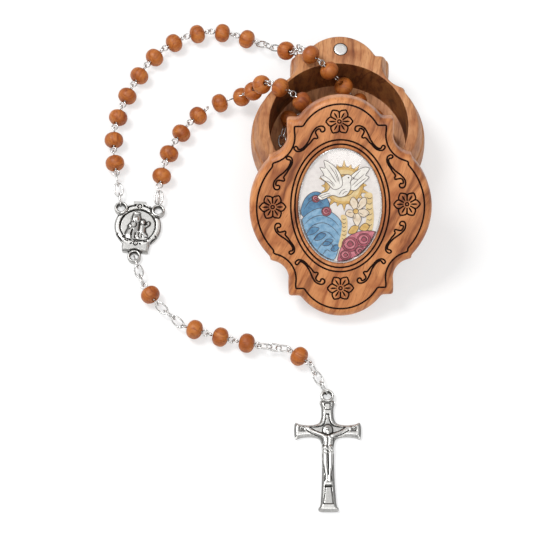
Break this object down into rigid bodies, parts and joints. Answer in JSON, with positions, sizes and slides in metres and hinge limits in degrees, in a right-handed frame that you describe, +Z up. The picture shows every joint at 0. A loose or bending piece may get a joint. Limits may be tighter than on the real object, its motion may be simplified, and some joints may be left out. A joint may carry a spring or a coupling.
{
  "type": "rosary box",
  "caption": "Olive wood rosary box with a scalloped lid leaning on its round-cavity base, and a beaded rosary with a medal and crucifix partly inside it.",
  "frame": {"origin": "on the table under the middle of the base", "axes": "+Z up from the table, +Y to the back where the lid's upper end points, -Y to the front where the lid and the crucifix lie, +X to the right"},
  "size_m": [0.102, 0.1664, 0.0497],
  "materials": {
    "olive_wood_box": "satin",
    "olive_wood_beads": "satin",
    "magnet_metal": "satin",
    "picture_print": "satin",
    "picture_lacquer": "gloss",
    "antique_silver": "satin",
    "silver_wire": "gloss"
  },
  "bodies": {
    "base": {"base_body": "olive_wood_box", "base_magnets": "magnet_metal"},
    "lid": {"lid_panel": "olive_wood_box", "lid_magnets": "magnet_metal", "picture_plate": "picture_print", "picture_dome": "picture_lacquer"},
    "rosary_loop": {"centre_medal": "antique_silver", "decade_1_beads": "olive_wood_beads", "decade_1_pins": "silver_wire", "decade_2_beads": "olive_wood_beads", "decade_2_pins": "silver_wire", "decade_3_beads": "olive_wood_beads", "decade_3_pins": "silver_wire", "decade_4_beads": "olive_wood_beads", "decade_4_pins": "silver_wire", "decade_5_beads": "olive_wood_beads", "decade_5_pins": "silver_wire", "loop_chains": "silver_wire", "single_beads": "olive_wood_beads", "single_pins": "silver_wire"},
    "pendant_upper": {"pendant_chain_1": "silver_wire", "pendant_1_bead": "olive_wood_beads", "pendant_1_pin": "silver_wire"},
    "pendant_bend": {"pendant_chain_2": "silver_wire", "pendant_2_bead": "olive_wood_beads", "pendant_2_pin": "silver_wire"},
    "pendant_middle": {"pendant_3_bead": "olive_wood_beads", "pendant_3_pin": "silver_wire"},
    "pendant_inner": {"pendant_4_bead": "olive_wood_beads", "pendant_4_pin": "silver_wire"},
    "pendant_lower": {"pendant_chain_3": "silver_wire", "pendant_5_bead": "olive_wood_beads", "pendant_5_pin": "silver_wire"},
    "pendant_end": {"pendant_chain_4": "silver_wire"},
    "crucifix": {"crucifix_cross": "antique_silver"}
  },
  "joints": [
    {"name": "lid_lift", "type": "slide", "parent": "base", "child": "lid", "axis": [0, 0, 1], "range_m": [0, 0.06]},
    {"name": "rosary_lift", "type": "slide", "parent": "base", "child": "rosary_loop", "axis": [0, 0, 1], "range_m": [0, 0.006]},
    {"name": "pendant_upper_swing", "type": "hinge", "parent": "rosary_loop", "child": "pendant_upper", "pos_m": [-0.06366, -0.03753, 0.00183], "axis": [0, 0, 1], "range_deg": [-10, 2]},
    {"name": "pendant_bend_swing", "type": "hinge", "parent": "pendant_upper", "child": "pendant_bend", "pos_m": [-0.0561, -0.05416, 0.0033], "axis": [0, 0, 1], "range_deg": [-12, 2]},
    {"name": "pendant_middle_swing", "type": "hinge", "parent": "pendant_bend", "child": "pendant_middle", "pos_m": [-0.04068, -0.06381, 0.003], "axis": [0, 0, 1], "range_deg": [-12, 2]},
    {"name": "pendant_inner_swing", "type": "hinge", "parent": "pendant_middle", "child": "pendant_inner", "pos_m": [-0.03264, -0.06605, 0.003], "axis": [0, 0, 1], "range_deg": [-12, 2]},
    {"name": "pendant_lower_swing", "type": "hinge", "parent": "pendant_inner", "child": "pendant_lower", "pos_m": [-0.0245, -0.06787, 0.003], "axis": [0, 0, 1], "range_deg": [-15, 3]},
    {"name": "pendant_end_swing", "type": "hinge", "parent": "pendant_lower", "child": "pendant_end", "pos_m": [-0.00909, -0.07379, 0.00292], "axis": [0, 0, 1], "range_deg": [-20, 6]},
    {"name": "crucifix_swing", "type": "hinge", "parent": "pendant_end", "child": "crucifix", "pos_m": [-0.00444, -0.08283, 0.00185], "axis": [0, 0, 1], "range_deg": [-30, 20]}
  ]
}
